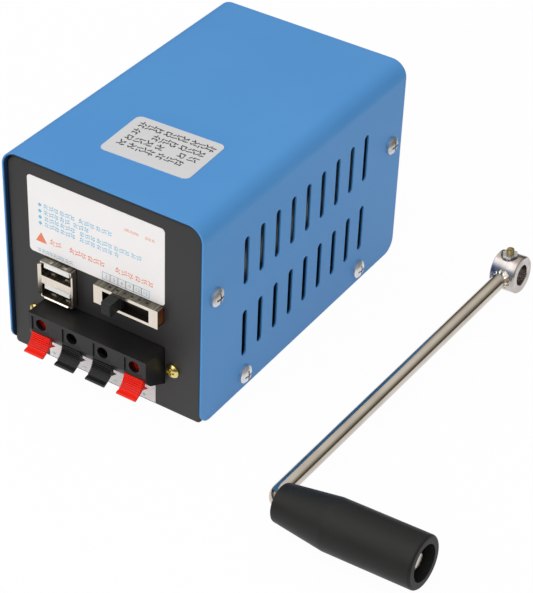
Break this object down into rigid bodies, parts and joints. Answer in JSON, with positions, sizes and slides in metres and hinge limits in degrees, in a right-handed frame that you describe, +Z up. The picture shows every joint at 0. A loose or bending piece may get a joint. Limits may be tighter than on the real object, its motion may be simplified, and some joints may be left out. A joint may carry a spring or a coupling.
{
  "type": "hand crank generator",
  "caption": "Sheet metal box with a geared hand crank generator, twin USB socket, voltage selector, push terminals and a loose crank with a turning grip.",
  "frame": {"origin": "middle of the box's footprint, on the table", "axes": "+Z up, the output panel faces -Y, the drive shaft leaves the rear panel along +Y, +X is to the right when facing the output panel"},
  "size_m": [0.1917, 0.1874, 0.0852],
  "materials": {
    "blue_paint": "gloss",
    "black_paint": "satin",
    "plated_steel": "bright",
    "label": "satin",
    "nickel": "bright",
    "white_plastic": "satin",
    "gold_contact": "bright",
    "phenolic": "matte",
    "black_plastic": "satin",
    "black_lever": "satin",
    "red_lever": "satin",
    "board": "satin",
    "capacitor_sleeve": "gloss",
    "ferrite": "matte",
    "aluminium": "satin",
    "epoxy": "matte",
    "zinc_steel": "satin",
    "gear_steel": "satin",
    "bronze": "satin",
    "brass": "bright",
    "magnet": "matte",
    "core_steel": "satin",
    "copper": "gloss",
    "carbon": "matte",
    "chrome": "bright",
    "grip_black": "satin"
  },
  "bodies": {
    "housing": {"cover": "blue_paint", "chassis": "black_paint", "cover_screws_left": "plated_steel", "cover_screws_right": "plated_steel", "front_label": "label", "terminal_label": "label", "top_sticker": "label", "usb_shell": "nickel", "usb_insulator": "white_plastic", "usb_contacts": "gold_contact", "switch_frame": "nickel", "switch_body": "phenolic", "switch_pins": "plated_steel", "terminal_block": "black_plastic", "terminal_contacts": "brass", "terminal_screws": "brass", "circuit_board": "board", "board_standoffs": "brass", "board_screws": "plated_steel", "capacitors": "capacitor_sleeve", "inductor": "copper", "regulator": "epoxy", "heat_sink": "aluminium", "board_chips": "epoxy", "gearbox_rear_plate": "zinc_steel", "gearbox_front_plate": "zinc_steel", "gearbox_pillars": "zinc_steel", "gearbox_screws": "plated_steel", "shaft_bushes": "bronze", "machine_can": "zinc_steel", "machine_magnets": "magnet", "machine_end_cap": "black_plastic", "machine_bushes": "bronze", "machine_brushes": "carbon", "machine_tags": "brass", "machine_screws": "plated_steel"},
    "selector": {"switch_knob": "black_plastic"},
    "push_lever_1": {"lever_1": "red_lever"},
    "push_lever_2": {"lever_2": "black_lever"},
    "push_lever_3": {"lever_3": "black_lever"},
    "push_lever_4": {"lever_4": "red_lever"},
    "drive": {"drive_shaft": "gear_steel", "drive_gear": "gear_steel", "retaining_ring": "core_steel"},
    "first_cluster": {"first_cluster_gear": "gear_steel", "first_cluster_shaft": "gear_steel"},
    "second_cluster": {"second_cluster_gear": "gear_steel", "second_cluster_shaft": "gear_steel"},
    "rotor": {"armature_core": "core_steel", "armature_windings": "copper", "commutator": "copper", "armature_shaft": "gear_steel", "machine_pinion": "brass"},
    "crank": {"crank_arm": "chrome", "crank_hub": "chrome", "hub_set_screw": "brass", "hub_lock_nut": "plated_steel", "grip_washer": "plated_steel", "grip_nut": "plated_steel"},
    "crank_grip": {"grip": "grip_black"}
  },
  "joints": [
    {"name": "rotor_spin", "type": "hinge", "parent": "housing", "child": "rotor", "pos_m": [0.00632, 0, 0.03207], "axis": [0, 1, 0], "continuous": true},
    {"name": "second_cluster_spin", "type": "hinge", "parent": "housing", "child": "second_cluster", "pos_m": [-0.00051, 0.05, 0.01906], "axis": [0, 1, 0], "continuous": true},
    {"name": "first_cluster_spin", "type": "hinge", "parent": "housing", "child": "first_cluster", "pos_m": [-0.01782, 0.05, 0.02468], "axis": [0, 1, 0], "continuous": true},
    {"name": "drive_spin", "type": "hinge", "parent": "housing", "child": "drive", "pos_m": [0, 0.06, 0.0425], "axis": [0, 1, 0], "continuous": true},
    {"name": "selector_slide", "type": "slide", "parent": "housing", "child": "selector", "axis": [1, 0, 0], "range_m": [-0.0031, 0.0124]},
    {"name": "push_lever_1_hinge", "type": "hinge", "parent": "housing", "child": "push_lever_1", "pos_m": [-0.0202, -0.0717, 0.0185], "axis": [1, 0, 0], "range_deg": [0, 10], "stiffness_Nm_per_rad": 0.02, "springref_deg": -28.65},
    {"name": "push_lever_2_hinge", "type": "hinge", "parent": "housing", "child": "push_lever_2", "pos_m": [-0.0066, -0.0717, 0.0185], "axis": [1, 0, 0], "range_deg": [0, 10], "stiffness_Nm_per_rad": 0.02, "springref_deg": -28.65},
    {"name": "push_lever_3_hinge", "type": "hinge", "parent": "housing", "child": "push_lever_3", "pos_m": [0.007, -0.0717, 0.0185], "axis": [1, 0, 0], "range_deg": [0, 10], "stiffness_Nm_per_rad": 0.02, "springref_deg": -28.65},
    {"name": "push_lever_4_hinge", "type": "hinge", "parent": "housing", "child": "push_lever_4", "pos_m": [0.0206, -0.0717, 0.0185], "axis": [1, 0, 0], "range_deg": [0, 10], "stiffness_Nm_per_rad": 0.02, "springref_deg": -28.65},
    {"name": "crank_lift", "type": "slide", "parent": "housing", "child": "crank", "axis": [0, 0, 1], "range_m": [0, 0.1]},
    {"name": "grip_spin", "type": "hinge", "parent": "crank", "child": "crank_grip", "pos_m": [0.11771, -0.09123, 0.01003], "axis": [0.997, -0.0275, 0.0727], "continuous": true}
  ],
  "couplings": [
    {"joint": "second_cluster_spin", "follows": "rotor_spin", "ratio": -0.4},
    {"joint": "first_cluster_spin", "follows": "rotor_spin", "ratio": 0.12},
    {"joint": "drive_spin", "follows": "rotor_spin", "ratio": -0.032727}
  ]
}
